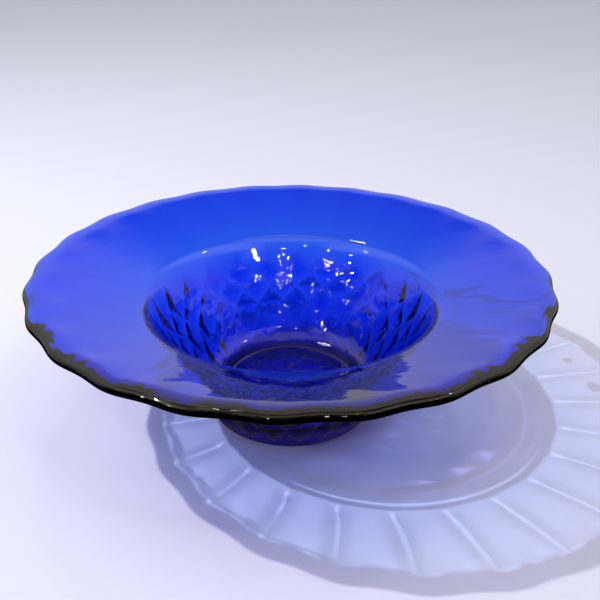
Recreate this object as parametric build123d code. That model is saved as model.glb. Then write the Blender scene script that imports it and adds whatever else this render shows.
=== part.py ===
from build123d import *
import os
from math import acos, atan, cos, degrees, radians, sin, sqrt

# Pressed glass console bowl: a wide brim with a scalloped edge, a deep well with a
# lattice of raised diamonds pressed on its outside, and a ring foot.
# Millimetres, +Z up. The origin is on the table, at the middle of the foot ring.
# The glass is one casting. Its named regions meet face to face and are written one by one.

# ---- driving dimensions ----
RIM_RADIUS = 155.0  # mean radius of the scalloped outline
SCALLOPS = 24  # scallops of the edge, and diamonds around the well
SCALLOP_DEPTH = 0.9  # the outline swings this far in and out of RIM_RADIUS
SCALLOP_CREST_RADIUS = 36.0  # plan radius of each outward bulge
HEIGHT = 96.0  # table to the crest of the brim

FOOT_RADIUS = 51.6  # outside of the foot ring where it stands
PLAIN_FOOT_HEIGHT = 3.5  # plain glass below the lattice
FOOT_OUTER_ROUND = 1.2
FOOT_INNER_ROUND = 0.8
RECESS_DEPTH = 8.0  # hollow under the floor

FLOOR_RADIUS = 43.0  # round floor, and the recess below it
BEAD_WIDTH = 3.0  # raised bead around the floor
BEAD_HEIGHT = 0.8
FLOOR_BLEND = 18.0  # inside curve from the floor up to the wall

WALL_FLARE = 0.55  # outward run of the wall for each unit of rise
WALL_THICKNESS = 6.0  # measured level, from the lattice lines to the inside
WALL_TOP = 71.2  # where the wall meets the shoulder

# lattice lines from the top tips to the bottom tips; every other row is turned half a pitch
LATTICE_LEVELS = (70.4, 54.6, 45.0, 35.7, 15.0, 4.4)
DIAMOND_RELIEF = 2.4  # how far each diamond's point stands out
FLOOR_LEVEL = LATTICE_LEVELS[4]

SHOULDER_RADIUS = 88.5  # sharp corner between the well and the brim
SHOULDER_LEVEL = 77.5
SHOULDER_INNER_ROUND = 16.0
SHOULDER_OUTER_ROUND = 6.4
SHOULDER_END = 100.0  # radius where the brim begins

BRIM_THICKNESS = 4.6  # at the corner under the shoulder; it grows to 6.2 near the crest
BRIM_CORNER_RADIUS = 146.0  # sharp corner between the sloping brim and its level crest
CREST_ROUND = 22.0
EDGE_WIDTH = 5.5  # from the crest line to the outermost glass
EDGE_LOW = 92.0  # level where the underside reaches the outermost glass
EDGE_TOP_ROUND = 2.6
EDGE_LOW_ROUND = 0.9

# ---- worked out from them ----
PITCH = 360 / SCALLOPS
CREST_RADIUS = RIM_RADIUS - EDGE_WIDTH
BRIM_SLOPE = (HEIGHT - SHOULDER_LEVEL) / (BRIM_CORNER_RADIUS - SHOULDER_RADIUS)


def wall_radius(z):
    """Radius of the wall's lattice lines at height z."""
    return FOOT_RADIUS + WALL_FLARE * z


def around(radius, angle, z):
    """Point at a radius, an angle in degrees and a height."""
    return Vector(radius * cos(radians(angle)), radius * sin(radians(angle)), z)


def turned(outline):
    """Solid of revolution of a closed (radius, height) outline."""
    return revolve(Plane.XZ * make_face(outline), Axis.Z)


def filleted(points, radii):
    """Open (radius, height) line through points, with one radius for each inner corner."""
    return FilletPolyline(*points, radius=radii)


def closed(line, *corners):
    """Join the two ends of a line through further corners."""
    return line + Polyline(line @ 1, *corners, line @ 0)


def under_shoulder_level():
    """Level of the sharp corner between the brim's underside and the wall's outside."""
    drop = BRIM_THICKNESS / cos(atan(BRIM_SLOPE))
    at_foot_radius = SHOULDER_LEVEL - drop + BRIM_SLOPE * (FOOT_RADIUS - SHOULDER_RADIUS)
    return at_foot_radius / (1 - BRIM_SLOPE * WALL_FLARE)


UNDER_LEVEL = under_shoulder_level()
UNDER_SLOPE = (EDGE_LOW - UNDER_LEVEL) / (RIM_RADIUS - wall_radius(UNDER_LEVEL))


def under_level(radius):
    """Level of the brim's straight underside."""
    return EDGE_LOW + UNDER_SLOPE * (radius - RIM_RADIUS)


# ---- pressed outside of the wall and the foot ----
def lattice_ring(z, radius, half_turn):
    """One point for each pitch; half_turn moves them half a pitch around."""
    shift = PITCH / 2 if half_turn else 0
    return [around(radius, k * PITCH + shift, z) for k in range(SCALLOPS)]


def plain_rings(z):
    """Points on the lattice lines' surface at height z, in line with the rows and between them."""
    return [lattice_ring(z, wall_radius(z), half) for half in (0, 1)]


def diamond_points(row):
    """Points of the diamonds that are widest on a row of the lattice."""
    level = LATTICE_LEVELS[row]
    return lattice_ring(level, wall_radius(level) + DIAMOND_RELIEF, (row + 1) % 2)


def lattice_triangles():
    """Corners of every facet, from the top of the wall down to the plain foot."""
    rows = [lattice_ring(z, wall_radius(z), k % 2) for k, z in enumerate(LATTICE_LEVELS)]
    top = plain_rings(WALL_TOP)
    base = plain_rings(PLAIN_FOOT_HEIGHT)
    triangles = []
    for row in range(1, len(rows) - 1):
        for k, point in enumerate(diamond_points(row)):
            before, after = (k - 1, k) if row % 2 else (k, k + 1)
            left = rows[row][before % SCALLOPS]
            right = rows[row][after % SCALLOPS]
            above = rows[row - 1][k]
            below = rows[row + 1][k]
            triangles += [(point, above, left), (point, left, below)]
            triangles += [(point, below, right), (point, right, above)]
    for k in range(SCALLOPS):
        after = (k + 1) % SCALLOPS
        # plain glass between the top tips
        triangles += [(rows[0][k], top[0][k], top[1][k]), (rows[0][k], top[1][k], rows[1][k])]
        triangles += [(rows[1][k], top[1][k], rows[0][after]), (rows[0][after], top[1][k], top[0][after])]
        # plain glass between the bottom tips
        triangles += [(rows[5][k], base[1][k], base[0][k]), (rows[5][k], base[0][k], rows[4][k])]
        triangles += [(rows[5][k], rows[4][after], base[0][after]), (rows[5][k], base[0][after], base[1][k])]
    return triangles


def lattice_band(low_rings, high_rings):
    """Solid with the pressed outside between two levels of it, and with flat ends."""
    low, high = low_rings[0][0].Z, high_rings[0][0].Z
    outlines = [corners for corners in lattice_triangles() if all(low <= p.Z <= high for p in corners)]
    for rings in (low_rings, high_rings):
        outlines.append([ring[k] for k in range(SCALLOPS) for ring in rings])
    return Solid(Shell([Face(Wire.make_polygon(corners, close=True)) for corners in outlines]))


# the wall and the foot part where the diamonds of the lowest row are widest
JOINT_RINGS = [lattice_ring(FLOOR_LEVEL, wall_radius(FLOOR_LEVEL), 0), diamond_points(4)]


def make_foot_ring():
    ring = filleted(
        [
            (FLOOR_RADIUS, PLAIN_FOOT_HEIGHT),
            (FLOOR_RADIUS, 0),
            (FOOT_RADIUS, 0),
            (wall_radius(PLAIN_FOOT_HEIGHT), PLAIN_FOOT_HEIGHT),
        ],
        [FOOT_INNER_ROUND, FOOT_OUTER_ROUND],
    )
    band = lattice_band(plain_rings(PLAIN_FOOT_HEIGHT), JOINT_RINGS)
    hollow = Cylinder(FLOOR_RADIUS, 4 * FLOOR_LEVEL)
    return (turned(ring + Line(ring @ 1, ring @ 0)) + band) - hollow


def make_well_wall():
    corner = wall_radius(FLOOR_LEVEL) - WALL_THICKNESS
    mouth_level = WALL_TOP + 1
    inside = filleted(
        [
            (FLOOR_RADIUS, FLOOR_LEVEL),
            (corner, FLOOR_LEVEL),
            (wall_radius(mouth_level) - WALL_THICKNESS, mouth_level),
        ],
        [FLOOR_BLEND],
    )
    cavity = turned(closed(inside, (0, mouth_level), (0, 0), (FLOOR_RADIUS, 0)))
    return lattice_band(JOINT_RINGS, plain_rings(WALL_TOP)) - cavity


# ---- floor ----
def make_well_floor():
    bead_start = FLOOR_RADIUS - BEAD_WIDTH
    bead_top = (FLOOR_RADIUS - BEAD_WIDTH / 2, FLOOR_LEVEL + BEAD_HEIGHT)
    bead = ThreePointArc((bead_start, FLOOR_LEVEL), bead_top, (FLOOR_RADIUS, FLOOR_LEVEL))
    underside = [(FLOOR_RADIUS, RECESS_DEPTH), (0, RECESS_DEPTH), (0, FLOOR_LEVEL)]
    return turned(closed(bead, *underside))


# ---- shoulder and brim ----
def brim_profile():
    """Closed outline of the shoulder and the brim, from the wall's top out past the crest."""
    end = RIM_RADIUS + 2
    inner_foot = wall_radius(WALL_TOP) - WALL_THICKNESS
    upper = filleted(
        [
            (inner_foot, WALL_TOP),
            (SHOULDER_RADIUS, SHOULDER_LEVEL),
            (BRIM_CORNER_RADIUS, HEIGHT),
            (end, HEIGHT),
        ],
        [SHOULDER_INNER_ROUND, CREST_ROUND],
    )
    lower = filleted(
        [
            (end, under_level(end)),
            (wall_radius(UNDER_LEVEL), UNDER_LEVEL),
            (wall_radius(WALL_TOP), WALL_TOP),
        ],
        [SHOULDER_OUTER_ROUND],
    )
    return upper + Line(upper @ 1, lower @ 0) + lower + Line(lower @ 1, upper @ 0)


def scallop_arcs(mean_radius):
    """Radii, centre distances and half angles of the outward and inward arcs of the edge."""
    beta = radians(PITCH / 2)
    far = mean_radius + SCALLOP_DEPTH
    near = mean_radius - SCALLOP_DEPTH
    out_centre = far - SCALLOP_CREST_RADIUS
    top = SCALLOP_CREST_RADIUS**2 - out_centre**2 - near**2 + 2 * out_centre * near * cos(beta)
    in_radius = top / (2 * (near - out_centre * cos(beta) - SCALLOP_CREST_RADIUS))
    in_centre = near + in_radius
    span = SCALLOP_CREST_RADIUS + in_radius
    in_half = acos((in_centre**2 + span**2 - out_centre**2) / (2 * in_centre * span))
    return in_radius, out_centre, in_centre, degrees(in_half), degrees(in_half + beta)


def make_scalloped_edge():
    in_radius, out_centre, in_centre, in_half, out_half = scallop_arcs(CREST_RADIUS)
    crest_under = under_level(CREST_RADIUS)

    def section(crest):
        """Rounded edge with its crest line at the given radius."""
        out = crest + EDGE_WIDTH
        corners = [(crest, HEIGHT), (out, HEIGHT), (out, EDGE_LOW), (crest, crest_under)]
        outside = filleted(corners, [EDGE_TOP_ROUND, EDGE_LOW_ROUND])
        return Plane.XZ * make_face(closed(outside))

    outward_axis = Axis((out_centre, 0, 0), (0, 0, 1))
    outward = section(CREST_RADIUS + SCALLOP_DEPTH).rotate(outward_axis, -out_half)
    outward = revolve(outward, outward_axis, 2 * out_half)
    inward_axis = Axis((in_centre, 0, 0), (0, 0, 1))
    inward = section(CREST_RADIUS - SCALLOP_DEPTH).rotate(inward_axis, -in_half)
    inward = revolve(inward, inward_axis, 2 * in_half).rotate(Axis.Z, PITCH / 2)
    pieces = [piece.rotate(Axis.Z, k * PITCH) for k in range(SCALLOPS) for piece in (outward, inward)]
    return pieces[0].fuse(*pieces[1:])


def scalloped_disc(height):
    """Upright prism with the outline of the brim's crest."""
    in_radius, out_centre, in_centre, in_half, out_half = scallop_arcs(CREST_RADIUS)
    joint = Vector(in_radius * cos(radians(in_half)), in_radius * sin(radians(in_half)))
    joint_radius = sqrt((in_centre - joint.X) ** 2 + joint.Y**2)
    joint_angle = PITCH / 2 - degrees(atan(joint.Y / (in_centre - joint.X)))
    arcs = []
    for k in range(SCALLOPS):
        peak = k * PITCH
        valley = peak + PITCH / 2
        start = around(joint_radius, peak - joint_angle, 0)
        middle = around(joint_radius, peak + joint_angle, 0)
        end = around(joint_radius, peak + PITCH - joint_angle, 0)
        arcs.append(ThreePointArc(start, around(CREST_RADIUS + SCALLOP_DEPTH, peak, 0), middle))
        arcs.append(ThreePointArc(middle, around(CREST_RADIUS - SCALLOP_DEPTH, valley, 0), end))
    return extrude(make_face(arcs), height)


os.makedirs("parts", exist_ok=True)
upper_bowl = turned(brim_profile())
shoulder_core = Cylinder(SHOULDER_END, 2 * HEIGHT)
parts = {
    "foot_ring": make_foot_ring(),
    "well_floor": make_well_floor(),
    "well_wall": make_well_wall(),
    "shoulder": upper_bowl & shoulder_core,
    "brim": (upper_bowl - shoulder_core) & scalloped_disc(2 * HEIGHT),
    "scalloped_edge": make_scalloped_edge(),
}
for name, shape in parts.items():
    export_step(shape, f"parts/{name}.step")
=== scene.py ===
from math import acos, atan, atan2, cos, pi, radians, sin, tan

import bpy
import numpy as np
from mathutils import Matrix, Vector


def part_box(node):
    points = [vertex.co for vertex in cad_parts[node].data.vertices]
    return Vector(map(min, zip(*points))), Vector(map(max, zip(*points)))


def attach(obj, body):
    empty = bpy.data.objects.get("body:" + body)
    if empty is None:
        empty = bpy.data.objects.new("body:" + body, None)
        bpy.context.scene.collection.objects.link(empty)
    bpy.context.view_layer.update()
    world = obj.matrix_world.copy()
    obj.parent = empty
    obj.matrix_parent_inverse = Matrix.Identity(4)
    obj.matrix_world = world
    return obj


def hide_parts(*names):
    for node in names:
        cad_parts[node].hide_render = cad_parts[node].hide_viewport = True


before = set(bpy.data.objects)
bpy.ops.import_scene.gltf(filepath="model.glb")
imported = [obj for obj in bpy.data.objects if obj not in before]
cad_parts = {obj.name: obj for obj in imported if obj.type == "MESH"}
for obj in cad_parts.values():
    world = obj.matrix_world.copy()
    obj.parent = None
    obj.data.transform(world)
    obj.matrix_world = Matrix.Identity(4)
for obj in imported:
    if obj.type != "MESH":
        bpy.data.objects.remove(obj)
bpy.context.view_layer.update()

MM = 0.001

# ---- sizes read from the frame ----
_, (EDGE_OUT, _, HEIGHT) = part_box("scalloped_edge")
_, (WALL_TOP_RADIUS, _, WALL_TOP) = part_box("well_wall")
(_, _, RECESS_LEVEL), (FLOOR_RADIUS, _, BEAD_TOP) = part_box("well_floor")
SHOULDER_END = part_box("shoulder")[1][0]

# ---- sizes of the design, in metres ----
SCALLOPS = 24
SCALLOP_DEPTH = 0.9 * MM
SCALLOP_START = 125 * MM  # the brim is round inside this radius
EDGE_WIDTH = 5.5 * MM  # from the crest line to the outermost glass
EDGE_TOP_ROUND = 2.6 * MM
EDGE_LOW_ROUND = 0.9 * MM
EDGE_LOW = 92 * MM  # where the underside reaches the outermost glass
CREST_ROUND = 22 * MM
BRIM_CORNER_RADIUS = 146 * MM
BRIM_THICKNESS = 4.6 * MM  # at the corner under the shoulder; it grows towards the crest
RIDGE_START = 98 * MM
RIDGE_RAMP = 14 * MM
RIDGE_HEIGHT = 0.17 * MM  # soft ridges under the brim, one behind each scallop
RIDGE_WIDTH = 3.6 * MM
SHOULDER_RADIUS = 88.5 * MM
SHOULDER_LEVEL = 77.5 * MM
SHOULDER_INNER_ROUND = 16 * MM
SHOULDER_OUTER_ROUND = 6.4 * MM
WALL_FLARE = 0.55
WALL_THICKNESS = 6 * MM
LATTICE_LEVELS = [level * MM for level in (70.4, 54.6, 45.0, 35.7, 15.0, 4.4)]
DIAMOND_RELIEF = 2.4 * MM
FLOOR_LEVEL = LATTICE_LEVELS[4]
FLOOR_BLEND = 18 * MM
BEAD_WIDTH = 3 * MM
PLAIN_FOOT_HEIGHT = 3.5 * MM
FOOT_OUTER_ROUND = 1.2 * MM
FOOT_INNER_ROUND = 0.8 * MM

FOOT_RADIUS = WALL_TOP_RADIUS - WALL_FLARE * WALL_TOP
CREST_RADIUS = EDGE_OUT - SCALLOP_DEPTH - EDGE_WIDTH
BRIM_SLOPE = (HEIGHT - SHOULDER_LEVEL) / (BRIM_CORNER_RADIUS - SHOULDER_RADIUS)

# ---- mesh density ----
FACET_STEPS = 12  # divisions of each facet's sides
RIDGE_PASSES = 1  # how often the facets' heights are averaged, which rounds their ridges
AROUND = 2 * SCALLOPS * FACET_STEPS  # points of every ring
STEP = 2.2 * MM  # along the profile
ARC_STEP = radians(7)
SEAM_GAP = 0.005 * MM  # half the hairline between two regions
BEAD_POINTS = 11  # across the bead at the floor's edge
DISC_SHRINK = 0.62  # radius of each ring of a disc, of the ring around it
DISC_FAN = 36  # a ring of this few points closes with a fan
TURN = 2 * pi * np.arange(AROUND) / AROUND
WAVE = np.cos(SCALLOPS * TURN)
FROM_PEAK = (TURN * SCALLOPS / (2 * pi) + 0.5) % 1 * 2 * pi / SCALLOPS - pi / SCALLOPS


def wall_radius(z):
    return FOOT_RADIUS + WALL_FLARE * z


def under_shoulder_level():
    """Height of the sharp corner between the brim's underside and the wall's outside."""
    drop = BRIM_THICKNESS / cos(atan(BRIM_SLOPE))
    at_foot_radius = SHOULDER_LEVEL - drop + BRIM_SLOPE * (FOOT_RADIUS - SHOULDER_RADIUS)
    return at_foot_radius / (1 - BRIM_SLOPE * WALL_FLARE)


def smooth(value):
    value = np.clip(value, 0, 1)
    return value * value * (3 - 2 * value)


# ---- profile lines: lists of (radius, height) ----
def straight(start, end):
    """Evenly spaced points from start up to, and without, end."""
    start, end = np.array(start), np.array(end)
    count = max(1, round(float(np.linalg.norm(end - start)) / STEP))
    return [tuple(start + (end - start) * k / count) for k in range(count)]


def arc(centre, radius, begin, finish):
    """Points of an arc, both ends in it, with angles in radians."""
    count = max(2, round(abs(finish - begin) / ARC_STEP))
    angles = [begin + (finish - begin) * k / count for k in range(count + 1)]
    return [(centre[0] + radius * cos(a), centre[1] + radius * sin(a)) for a in angles]


def rounded(points, radii):
    """Line through points, with each inner corner rounded to its radius."""
    points = [np.array(p, float) for p in points]
    line, last = [], points[0]
    for before, corner, after, radius in zip(points, points[1:], points[2:], radii):
        back = (before - corner) / np.linalg.norm(before - corner)
        on = (after - corner) / np.linalg.norm(after - corner)
        half = acos(float(np.clip(back @ on, -1, 1))) / 2
        start = corner + back * radius / tan(half)
        end = corner + on * radius / tan(half)
        middle = (back + on) / np.linalg.norm(back + on)
        centre = corner + middle * radius / sin(half)
        begin = atan2(*(start - centre)[::-1])
        sweep = (atan2(*(end - centre)[::-1]) - begin + pi) % (2 * pi) - pi
        line += straight(last, start)
        line += arc(centre, radius, begin, begin + sweep)[:-1]
        last = end
    return line + straight(last, points[-1]) + [tuple(points[-1])]


# ---- the glass surface ----
class Surface:
    """Points and faces of the whole glass surface, each face labelled with its region."""

    def __init__(self):
        self.points = []
        self.faces = []
        self.regions = []

    def ring(self, radius, z):
        """Adds a ring of points; radius and z are numbers or one value for each point."""
        first = len(self.points)
        radius = np.broadcast_to(radius, TURN.shape)
        z = np.broadcast_to(z, TURN.shape)
        self.points += list(zip(radius * np.cos(TURN), radius * np.sin(TURN), z))
        return list(range(first, first + AROUND))

    def face(self, region, *corners):
        self.faces.append(corners)
        self.regions.append(region)

    def strip(self, region, inner, outer):
        """Quads between two rings; the outside is on the left, going from inner to outer."""
        n = len(inner)
        for k in range(n):
            j = (k + 1) % n
            self.face(region, inner[k], outer[k], outer[j], inner[j])

    def disc(self, region, ring, radius, z, up):
        """Closes a ring with a disc whose rings have fewer and fewer points."""
        while len(ring) > DISC_FAN:
            radius *= DISC_SHRINK
            half = ring[::2]
            angles = TURN[:: AROUND // len(half)]
            first = len(self.points)
            self.points += [(radius * cos(a), radius * sin(a), z) for a in angles]
            inner = list(range(first, first + len(half)))
            n = len(half)
            for k in range(n):
                j = (k + 1) % n
                fan = [
                    (inner[k], ring[2 * k], ring[2 * k + 1]),
                    (inner[k], ring[2 * k + 1], inner[j]),
                    (inner[j], ring[2 * k + 1], ring[(2 * k + 2) % len(ring)]),
                ]
                for corners in fan:
                    self.face(region, *(corners if up else corners[::-1]))
            ring = inner
        self.points.append((0, 0, z))
        centre = len(self.points) - 1
        for k in range(len(ring)):
            j = (k + 1) % len(ring)
            corners = (centre, ring[k], ring[j])
            self.face(region, *(corners if up else corners[::-1]))

    def sweep(self, region, first, line, scallop=None, ridge=None):
        """Strips from ring first through the rest of a line; returns all its rings."""
        rings = [first]
        for k, (radius, z) in enumerate(line[1:], 1):
            swing = (scallop(radius) if callable(scallop) else scallop or 0) * WAVE
            drop = ridge(radius) if ridge else 0
            rings.append(self.ring(radius + swing, z - drop))
            self.strip(region, rings[-2], rings[-1])
        return rings

    def normals(self):
        """Normal of every point, averaged over the faces around it by area."""
        points = np.array(self.points)
        total = np.zeros_like(points)
        for size in (3, 4):
            faces = np.array([face for face in self.faces if len(face) == size])
            corners = points[faces]
            turns = [np.cross(corners[:, k], corners[:, (k + 1) % size]) for k in range(size)]
            area = sum(turns) / 2
            for k in range(size):
                np.add.at(total, faces[:, k], area)
        return total / np.linalg.norm(total, axis=1)[:, None]


def facet_corners():
    """Facets of one pitch of the lattice, with (steps around, height, stand-out) corners."""
    half = FACET_STEPS
    levels = LATTICE_LEVELS
    triangles = []
    for row in range(1, len(levels) - 1):
        middle = 0 if row % 2 else half
        point = (middle, levels[row], DIAMOND_RELIEF)
        left = (middle - half, levels[row], 0)
        right = (middle + half, levels[row], 0)
        above = (middle, levels[row - 1], 0)
        below = (middle, levels[row + 1], 0)
        triangles += [(point, above, left), (point, left, below)]
        triangles += [(point, below, right), (point, right, above)]
    # plain glass above the top tips and below the bottom ones
    ends = (
        (WALL_TOP, 0, levels[0], levels[1]),
        (PLAIN_FOOT_HEIGHT, half, levels[5], levels[4]),
    )
    for edge, middle, tip, valley in ends:
        for side in (-half, half):
            start, corner = (middle, tip, 0), (middle + side, edge, 0)
            triangles.append((start, (middle, edge, 0), corner))
            triangles.append((start, corner, (middle + side, valley, 0)))
    return triangles


def pressed_lattice():
    """Points (steps around, height, stand-out) and triangles of the lattice, ridges rounded."""
    known, points, triangles = {}, [], []

    def point_at(corners, i, j):
        weights = (FACET_STEPS - i - j, i, j)
        mix = [
            sum(w * c[axis] for w, c in zip(weights, corners)) / FACET_STEPS for axis in range(3)
        ]
        key = (round(mix[0]) % AROUND, round(mix[1] / SEAM_GAP))
        if key not in known:
            known[key] = len(points)
            points.append((key[0], mix[1], mix[2]))
        return known[key]

    for pitch in range(SCALLOPS):
        start = pitch * 2 * FACET_STEPS
        for corners in facet_corners():
            corners = [(steps + start, z, out) for steps, z, out in corners]
            a, b, c = (np.array(corner[:2]) for corner in corners)
            turned = (b - a)[0] * (c - a)[1] - (b - a)[1] * (c - a)[0] < 0
            for i in range(FACET_STEPS):
                for j in range(FACET_STEPS - i):
                    near = tuple(
                        point_at(corners, i + right, j + up)
                        for right, up in ((0, 0), (1, 0), (0, 1))
                    )
                    triangles.append(near[::-1] if turned else near)
                    if i + j < FACET_STEPS - 1:
                        far = (near[1], point_at(corners, i + 1, j + 1), near[2])
                        triangles.append(far[::-1] if turned else far)
    points, triangles = np.array(points), np.array(triangles)
    sides = ([0, 1], [1, 2], [2, 0])
    edges = np.concatenate([triangles[:, side] for side in sides])
    count = np.bincount(edges.ravel(), minlength=len(points))
    free = (points[:, 1] > PLAIN_FOOT_HEIGHT + SEAM_GAP) & (points[:, 1] < WALL_TOP - SEAM_GAP)
    for _ in range(RIDGE_PASSES):
        total = np.bincount(edges[:, 0], points[edges[:, 1], 2], len(points))
        total += np.bincount(edges[:, 1], points[edges[:, 0], 2], len(points))
        points[free, 2] = (points[free, 2] + total[free] / count[free]) / 2
    return points, triangles


def build_surface():
    """The whole glass surface, and the rings that bound its regions."""
    surface = Surface()

    def edge_share(radius):
        return smooth((radius - SCALLOP_START) / (CREST_RADIUS - SCALLOP_START))

    def ridge(radius):
        share = smooth((radius - RIDGE_START) / RIDGE_RAMP)
        return RIDGE_HEIGHT * share * np.exp(-((FROM_PEAK * radius / RIDGE_WIDTH) ** 2))

    def scallop(radius):
        return SCALLOP_DEPTH * edge_share(radius)

    inner_top = WALL_TOP_RADIUS - WALL_THICKNESS
    out = CREST_RADIUS + EDGE_WIDTH
    brim_start = SHOULDER_LEVEL + BRIM_SLOPE * (SHOULDER_END - SHOULDER_RADIUS)
    under_corner = under_shoulder_level()
    under_slope = (EDGE_LOW - under_corner) / (out - wall_radius(under_corner))
    under_start = EDGE_LOW + under_slope * (SHOULDER_END - out)
    crest_under = EDGE_LOW + under_slope * (CREST_RADIUS - out)

    # floor, with the bead at its edge
    bead_middle = FLOOR_RADIUS - BEAD_WIDTH / 2
    bead_height = BEAD_TOP - FLOOR_LEVEL
    bead = [
        (bead_middle - BEAD_WIDTH / 2 * cos(a), FLOOR_LEVEL + bead_height * sin(a) ** 2)
        for a in np.linspace(0, pi, BEAD_POINTS)
    ]
    flat = surface.ring(*bead[0])
    surface.disc("well_floor", flat, bead[0][0], FLOOR_LEVEL, up=True)
    floor_edge = surface.sweep("well_floor", flat, bead)[-1]

    # inside of the wall, top of the shoulder and of the brim
    corner = (wall_radius(FLOOR_LEVEL) - WALL_THICKNESS, FLOOR_LEVEL)
    line = rounded([(FLOOR_RADIUS, FLOOR_LEVEL), corner, (inner_top, WALL_TOP)], [FLOOR_BLEND])
    wall_in = surface.sweep("well_wall", floor_edge, line)[-1]
    shoulder = (SHOULDER_RADIUS, SHOULDER_LEVEL)
    line = [(inner_top, WALL_TOP), shoulder, (SHOULDER_END, brim_start)]
    line = rounded(line, [SHOULDER_INNER_ROUND])
    brim_in = surface.sweep("shoulder", wall_in, line)[-1]
    brim_corner = (BRIM_CORNER_RADIUS, HEIGHT)
    line = [(SHOULDER_END, brim_start), brim_corner, (CREST_RADIUS, HEIGHT)]
    line = rounded(line, [CREST_ROUND])
    crest = surface.sweep("brim", brim_in, line, scallop)[-1]

    # edge: from the crest around to the underside
    line = [(CREST_RADIUS, HEIGHT), (out, HEIGHT), (out, EDGE_LOW), (CREST_RADIUS, crest_under)]
    line = rounded(line, [EDGE_TOP_ROUND, EDGE_LOW_ROUND])

    def edge_ridge(radius):
        if radius >= out - EDGE_LOW_ROUND:
            return 0
        return ridge(radius) * smooth((out - radius) / EDGE_WIDTH)

    top_count = max(k for k, (_, z) in enumerate(line) if z > HEIGHT - EDGE_TOP_ROUND / 2)
    rings = surface.sweep("scalloped_edge", crest, line[: top_count + 1], SCALLOP_DEPTH)
    rings = surface.sweep("scalloped_edge", rings[-1], line[top_count:], SCALLOP_DEPTH, edge_ridge)
    crest_low = rings[-1]

    # underside of the brim and of the shoulder
    under_end = (SHOULDER_END, under_start)
    line = straight((CREST_RADIUS, crest_under), under_end) + [under_end]
    under_in = surface.sweep("brim", crest_low, line, scallop, ridge)[-1]
    under_shoulder = (wall_radius(under_corner), under_corner)
    line = [(SHOULDER_END, under_start), under_shoulder, (WALL_TOP_RADIUS, WALL_TOP)]
    line = rounded(line, [SHOULDER_OUTER_ROUND])[:-1]
    last = surface.sweep("shoulder", under_in, line)[-1]

    # pressed outside
    points, triangles = pressed_lattice()
    base = len(surface.points)
    angles = TURN[points[:, 0].astype(int)]
    radii = wall_radius(points[:, 1]) + points[:, 2]
    surface.points += list(zip(radii * np.cos(angles), radii * np.sin(angles), points[:, 1]))
    middle = points[triangles, 1].mean(axis=1)
    for corners, height in zip((triangles + base).tolist(), middle):
        surface.face("well_wall" if height > FLOOR_LEVEL else "foot_ring", *corners)

    def lattice_ring_at(z):
        """The lattice's points at height z, in order around."""
        found = np.flatnonzero(np.abs(points[:, 1] - z) < SEAM_GAP / 2)
        found = found[np.argsort(points[found, 0])]
        return (found + base).tolist()

    wall_out = lattice_ring_at(WALL_TOP)
    joint_out = lattice_ring_at(FLOOR_LEVEL)
    foot_out = lattice_ring_at(PLAIN_FOOT_HEIGHT)
    surface.strip("shoulder", last, wall_out)

    # foot ring and the recess inside it
    line = rounded(
        [
            (wall_radius(PLAIN_FOOT_HEIGHT), PLAIN_FOOT_HEIGHT),
            (FOOT_RADIUS, 0),
            (FLOOR_RADIUS, 0),
            (FLOOR_RADIUS, RECESS_LEVEL),
        ],
        [FOOT_OUTER_ROUND, FOOT_INNER_ROUND],
    )
    recess_top = surface.sweep("foot_ring", foot_out, line)[-1]
    under_floor = surface.ring(FLOOR_RADIUS, RECESS_LEVEL)
    surface.disc("well_floor", under_floor, FLOOR_RADIUS, RECESS_LEVEL, up=False)

    # each seam: region, the way it faces, and its two rings
    seams = [
        ("scalloped_edge", "in", crest, crest_low),
        ("brim", "out", crest, crest_low),
        ("brim", "in", brim_in, under_in),
        ("shoulder", "out", brim_in, under_in),
        ("shoulder", "down", wall_in, wall_out),
        ("well_wall", "up", wall_in, wall_out),
        ("well_wall", "down", floor_edge, joint_out),
        ("foot_ring", "up", floor_edge, joint_out),
        ("foot_ring", "in", floor_edge, recess_top),
        ("well_floor", "out", floor_edge, under_floor),
    ]
    return surface, seams


# ---- regions of the casting as closed pieces ----
FACINGS = {"in": (-1, 0), "out": (1, 0), "up": (0, 1), "down": (0, -1)}  # radial and upward parts


def seam_faces(points, first, second, way):
    """Quads across the glass between two rings, facing one way."""
    n = len(first)
    faces = [(first[k], second[k], second[(k + 1) % n], first[(k + 1) % n]) for k in range(n)]
    corners = points[list(faces[0])]
    normal = np.cross(corners[1] - corners[0], corners[3] - corners[0])
    radial = corners[0] * (1, 1, 0) / np.linalg.norm(corners[0][:2])
    facing = radial * FACINGS[way][0] + np.array((0, 0, FACINGS[way][1]))
    return faces if normal @ facing > 0 else [face[::-1] for face in faces]


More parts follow.
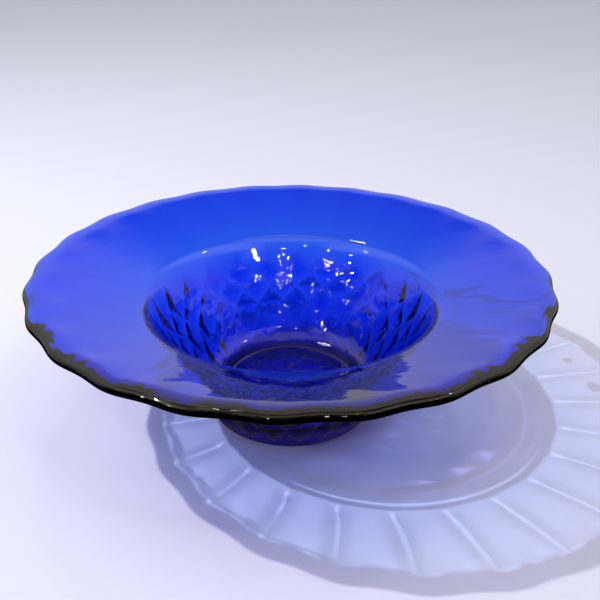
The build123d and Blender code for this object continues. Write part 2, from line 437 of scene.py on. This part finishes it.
def build_region(name, surface, seams, normals, glass):
    """Closed mesh of one region, drawn back from its neighbours by a hairline."""
    points = np.array(surface.points)
    outside = [face for face, region in zip(surface.faces, surface.regions) if region == name]
    inside = []
    shift = np.zeros_like(points)
    for region, way, first, second in seams:
        if region == name:
            inside += seam_faces(points, first, second, way)
            rings = first + second
            radial = points[rings] * (1, 1, 0)
            radial /= np.linalg.norm(radial, axis=1)[:, None]
            move = -(radial * FACINGS[way][0] + np.array((0, 0, FACINGS[way][1])))
            old = shift[rings]
            shift[rings] = np.where(np.abs(move) > np.abs(old), move, old)
    faces = outside + inside
    used = np.unique(np.concatenate([np.array(face) for face in faces]))
    place = np.zeros(len(points), int)
    place[used] = np.arange(len(used))
    mesh = bpy.data.meshes.new(name)
    drawn_back = (points + shift * SEAM_GAP)[used]
    mesh.from_pydata(drawn_back.tolist(), [], [[int(place[k]) for k in face] for face in faces])
    mesh.materials.append(glass)
    # the material shows its skin where this is 1, and nothing on the faces between regions
    marks = mesh.attributes.new("skin", "FLOAT", "FACE")
    marks.data.foreach_set("value", [1.0] * len(outside) + [0.0] * len(inside))
    mesh.polygons.foreach_set("use_smooth", [True] * len(faces))
    custom = [tuple(normals[k]) for face in outside for k in face]
    flat = [tuple(polygon.normal) for polygon in mesh.polygons[len(outside) :]]
    custom += [normal for normal, face in zip(flat, inside) for _ in face]
    mesh.normals_split_custom_set(custom)
    mesh.update()
    piece = bpy.data.objects.new(name + "_glass", mesh)
    bpy.context.scene.collection.objects.link(piece)
    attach(piece, "root")
    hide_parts(name)
    return piece


# ---- materials ----
class Graph:
    """Short way to make and link shader nodes."""

    def __init__(self, name):
        self.material = bpy.data.materials.new(name)
        self.material.use_nodes = True
        self.tree = self.material.node_tree
        self.tree.nodes.clear()
        self.output = self.tree.nodes.new("ShaderNodeOutputMaterial")

    def node(self, kind, settings=None, **inputs):
        """A node; each input (by its name, or _ and its number) is a value or an output socket."""
        node = self.tree.nodes.new("ShaderNode" + kind)
        for key, value in (settings or {}).items():
            setattr(node, key, value)
        for key, value in inputs.items():
            socket = node.inputs[int(key[1:]) if key[0] == "_" else key.replace("_", " ")]
            if isinstance(value, bpy.types.NodeSocket):
                self.tree.links.new(value, socket)
            else:
                socket.default_value = value
        return node

    def ramp(self, value, stops):
        """Colour at value, blended between (place, colour) stops."""
        node = self.node("ValToRGB", Fac=value)
        elements = node.color_ramp.elements
        for k, (place, colour) in enumerate(stops):
            element = elements[k] if k < 2 else elements.new(place)
            element.position, element.color = place, colour
        return node.outputs["Color"]

    def link(self, output, name):
        self.tree.links.new(output, self.output.inputs[name])


ABSORPTION = (640, 330, 18)  # of red, green and blue light, for each metre of glass
DENSITY = 650  # more than any of them: the volume's colour is 1 less each one's share of it
# colour of the skin by height: the lighter brim is the glass's own tint; the near-black foot is
# painted shade, and the well's deeper blue is partly its thicker glass, partly painted shade
SKIN_TINTS_AND_PAINTED_SHADE = (
    # painted shade: the two lowest stops darken the foot as if it lay in the bowl's own shadow
    (0.0, (0.17, 0.14, 0.24, 1)),
    (6 * MM, (0.21, 0.18, 0.36, 1)),
    # partly painted shade: the well's stops are deeper blue for the blue-filtered light under the
    # brim, as well as for its thicker glass
    (7.8 * MM, (0.44, 0.34, 0.99, 1)),
    (60 * MM, (0.44, 0.37, 0.99, 1)),
    (76 * MM, (0.55, 0.70, 0.99, 1)),
)
BRONZE = (1.0, 0.91, 0.70, 1)  # faint warmth of the reflections
DIMPLE_DEPTH = 1.3 * MM  # uneven pressing of the well
DIMPLE_FADE = 12 * MM  # the dimples fade in over this depth below the wall's top
SWELL_DEPTH = 0.6 * MM  # broad waviness all over
RIPPLE_DEPTH = 0.06 * MM  # fine waviness all over


def cobalt_glass():
    """Cobalt glass, coloured in its depth and by its skin, with painted shade darkening the skin
    of the foot and part of the well's, and a faint pressed waviness.
    """
    graph = Graph("cobalt_glass")
    place = graph.node("TexCoord").outputs["Object"]
    swell = graph.node("TexNoise", Vector=place, Scale=38, Detail=2, Roughness=0.45)
    ripple = graph.node("TexNoise", Vector=place, Scale=240, Detail=3, Roughness=0.55)
    height = graph.node("SeparateXYZ", _0=place).outputs["Z"]
    in_well = graph.node(
        "MapRange", Value=height, From_Min=WALL_TOP, From_Max=WALL_TOP - DIMPLE_FADE
    )
    pressed = graph.node("TexNoise", Vector=place, Scale=95, Detail=2, Roughness=0.5)
    dimples = graph.node(
        "Math", {"operation": "MULTIPLY"}, _0=pressed.outputs[0], _1=in_well.outputs[0]
    )
    well = graph.node("Bump", Height=dimples.outputs[0], Strength=1.0, Distance=DIMPLE_DEPTH)
    broad = graph.node(
        "Bump",
        Height=swell.outputs[0],
        Strength=0.35,
        Distance=SWELL_DEPTH,
        Normal=well.outputs[0],
    )
    fine = graph.node(
        "Bump",
        Height=ripple.outputs[0],
        Strength=0.2,
        Distance=RIPPLE_DEPTH,
        Normal=broad.outputs[0],
    )
    film = graph.node("TexNoise", Vector=place, Scale=16, Detail=5, Roughness=0.6)
    rough = graph.node(
        "MapRange", Value=film.outputs[0], From_Min=0.45, From_Max=0.75, To_Min=0.0, To_Max=0.035
    )
    level = graph.node("MapRange", Value=height, From_Min=0.0, From_Max=HEIGHT)
    # skin colour by height, with painted shade on the foot and in part on the well
    skin_and_painted_shade = graph.ramp(level.outputs[0], [(z / HEIGHT, colour) for z, colour in SKIN_TINTS_AND_PAINTED_SHADE])
    # the skin is absent where two regions meet inside the glass, so nothing shows there
    skin = graph.node("Attribute", {"attribute_name": "skin"})
    shell = graph.node(
        "BsdfPrincipled",
        Base_Color=skin_and_painted_shade,
        Roughness=rough.outputs[0],
        IOR=1.52,
        Alpha=skin.outputs["Fac"],
        Transmission_Weight=1,
        Specular_Tint=BRONZE,
        Normal=fine.outputs[0],
    )
    graph.link(shell.outputs[0], "Surface")
    colour = [1 - loss / DENSITY for loss in ABSORPTION] + [1]
    volume = graph.node("VolumeAbsorption", Color=colour, Density=DENSITY)
    graph.link(volume.outputs[0], "Volume")
    return graph.material


def table_material():
    graph = Graph("pale_table")
    shell = graph.node("BsdfPrincipled", Base_Color=(0.74, 0.75, 0.90, 1), Roughness=0.7)
    graph.link(shell.outputs[0], "Surface")
    return graph.material


# ---- studio ----
FLOOR_HALF = 6
LAMPS_AIM = (0, 0, 0.05)
KEY_PLACE = (-1.0, -0.08, 1.35)
KEY_SIZE = 0.035  # small, for a sharp light pattern in the shadow
KEY_POWER = 14
KEY_COLOUR = (1.0, 0.98, 0.95)
# small ceiling lamps: they only show as sparkles in the glass
SPARKS = (
    (-1.1, -0.75, 0.9),
    (0.95, 0.45, 1.6),
    (-0.35, 0.9, 1.7),
    (0.45, -0.7, 1.8),
    (-0.75, -1.15, 1.1),
    (0.25, -1.35, 1.15),
    (0.85, -1.0, 1.2),
    (-0.25, -1.2, 1.5),
)
SPARK_SIZE = 0.09
SPARK_POWER = 1.1
SPARK_COLOUR = (1, 1, 1)

# brightness of what the glass mirrors, by where it is
WORLD_COLOUR = (1.0, 0.97, 0.96, 1)
WORLD_DARK = 0.015  # low in front
WORLD_PALE = 0.72  # low behind, and the backdrop that the camera sees
WORLD_SIDES = 1.2
WORLD_ABOVE = 0.15
WORLD_ZENITH = 0.9
WORLD_BELOW = 0.01
WORLD_UNDER = 0.05  # straight down
# where one gives way to the next, as two values of the direction's X, Y or Z
BACK_STEP = (-0.5, 0.1)  # Y
SIDE_STEP = (0.25, 0.5)  # X, either way
ABOVE_STEP = (0.55, 0.72)  # Z, and so are the rest
ZENITH_STEP = (0.9, 0.97)
BELOW_STEP = (-0.02, -0.1)
UNDER_STEP = (-0.55, -0.85)


def studio_floor():
    half = FLOOR_HALF
    mesh = bpy.data.meshes.new("floor")
    corners = [(-half, -half, 0), (half, -half, 0), (half, half, 0), (-half, half, 0)]
    mesh.from_pydata(corners, [], [(0, 1, 2, 3)])
    mesh.materials.append(table_material())
    floor = bpy.data.objects.new("floor", mesh)
    bpy.context.scene.collection.objects.link(floor)
    floor.visible_glossy = False
    return floor


def aimed(position, target):
    direction = Vector(target) - Vector(position)
    return direction.to_track_quat("-Z", "Y").to_euler()


def area_light(name, position, target, size, power, colour):
    data = bpy.data.lights.new(name, "AREA")
    data.shape = "DISK"
    data.size = size
    data.energy = power
    data.color = colour
    light = bpy.data.objects.new(name, data)
    light.location = position
    light.rotation_euler = aimed(position, target)
    bpy.context.scene.collection.objects.link(light)
    return light


def soft_world():
    """Pale backdrop for the camera, and a studio of bright and dim parts for the glass."""
    world = bpy.data.worlds.new("studio")
    world.use_nodes = True
    tree = world.node_tree
    direction = tree.nodes.new("ShaderNodeTexCoord").outputs["Generated"]
    parts = tree.nodes.new("ShaderNodeSeparateXYZ")
    tree.links.new(direction, parts.inputs[0])

    def ramp(value, step, start, end):
        """Goes softly from start to end as value crosses step."""
        node = tree.nodes.new("ShaderNodeMapRange")
        node.interpolation_type = "SMOOTHSTEP"
        sockets = ("From Min", "From Max", "To Min", "To Max")
        for socket, number in zip(sockets, (*step, start, end)):
            node.inputs[socket].default_value = number
        tree.links.new(value, node.inputs["Value"])
        return node.outputs[0]

    def blend(share, first, second):
        """Mix of two brightnesses, each a number or a socket."""
        node = tree.nodes.new("ShaderNodeMix")
        for socket, value in (("Factor", share), ("A", first), ("B", second)):
            if isinstance(value, float):
                node.inputs[socket].default_value = value
            else:
                tree.links.new(value, node.inputs[socket])
        return node.outputs["Result"]

    x, y, z = (parts.outputs[axis] for axis in "XYZ")
    behind = ramp(y, BACK_STEP, WORLD_DARK, WORLD_PALE)
    left, right = (
        ramp(x, (sign * SIDE_STEP[0], sign * SIDE_STEP[1]), 0.0, 1.0) for sign in (-1, 1)
    )
    above = blend(left, blend(right, WORLD_ABOVE, WORLD_SIDES), WORLD_SIDES)
    above = blend(ramp(z, ZENITH_STEP, 0.0, 1.0), above, WORLD_ZENITH)
    strength = blend(ramp(z, ABOVE_STEP, 0.0, 1.0), behind, above)
    below = ramp(z, UNDER_STEP, WORLD_BELOW, WORLD_UNDER)
    strength = blend(ramp(z, BELOW_STEP, 0.0, 1.0), strength, below)
    # the dim parts only darken reflections: the camera sees the pale backdrop all around
    seen = tree.nodes.new("ShaderNodeLightPath").outputs["Is Camera Ray"]
    strength = blend(seen, strength, WORLD_PALE)
    background = tree.nodes["Background"]
    background.inputs["Color"].default_value = WORLD_COLOUR
    tree.links.new(strength, background.inputs["Strength"])
    bpy.context.scene.world = world


# ---- camera ----
CAMERA_DISTANCE = 0.465  # from the middle of the rim
CAMERA_ELEVATION = radians(24.725)
CAMERA_TURN = radians(2.9)  # scallops' phase as seen from the camera
CAMERA_ROLL = radians(0.469)
CAMERA_LENS = 45.88
CAMERA_AIM = Vector((0.0054, -0.0082, 0.0771))
RIM_DROP = 1.8 * MM  # from the top of the glass to its outermost line
RIM_MIDDLE = Vector((0, 0, HEIGHT - RIM_DROP))


def make_camera():
    data = bpy.data.cameras.new("camera")
    data.lens = CAMERA_LENS
    data.sensor_width = 36
    camera = bpy.data.objects.new("camera", data)
    back = Vector((0, -cos(CAMERA_ELEVATION), sin(CAMERA_ELEVATION))) * CAMERA_DISTANCE
    place = RIM_MIDDLE + back
    ahead = (CAMERA_AIM - place).normalized()
    side = ahead.cross(Vector((0, 0, 1))).normalized()
    above = side.cross(ahead)
    right = side * cos(CAMERA_ROLL) + above * sin(CAMERA_ROLL)
    up = above * cos(CAMERA_ROLL) - side * sin(CAMERA_ROLL)
    pose = Matrix((right, up, -ahead)).transposed().to_4x4()
    pose.translation = place
    camera.matrix_world = Matrix.Rotation(CAMERA_TURN, 4, "Z") @ pose
    bpy.context.scene.collection.objects.link(camera)
    bpy.context.scene.camera = camera


# ---- scene ----
GLASS_BOUNCES = 24
SEAM_BOUNCES = 32  # the absent skins between regions count as transparent

glass = cobalt_glass()
surface, seams = build_surface()
surface_normals = surface.normals()
pieces = [
    build_region(name, surface, seams, surface_normals, glass)
    for name in ("foot_ring", "well_floor", "well_wall", "shoulder", "brim", "scalloped_edge")
]

floor = studio_floor()
soft_world()
key = area_light("key", KEY_PLACE, LAMPS_AIM, KEY_SIZE, KEY_POWER, KEY_COLOUR)
sparks = [
    area_light(f"spark_{k}", place, LAMPS_AIM, SPARK_SIZE, SPARK_POWER, SPARK_COLOUR)
    for k, place in enumerate(SPARKS)
]
for light in [key, *sparks]:
    light.data.cycles.is_caustics_light = True
floor.cycles.is_caustics_receiver = True
for piece in pieces:
    piece.cycles.is_caustics_caster = True
make_camera()
cycles = bpy.context.scene.cycles
cycles.max_bounces = GLASS_BOUNCES
cycles.transmission_bounces = GLASS_BOUNCES
cycles.transparent_max_bounces = SEAM_BOUNCES
bpy.context.scene.view_settings.view_transform = "Standard"
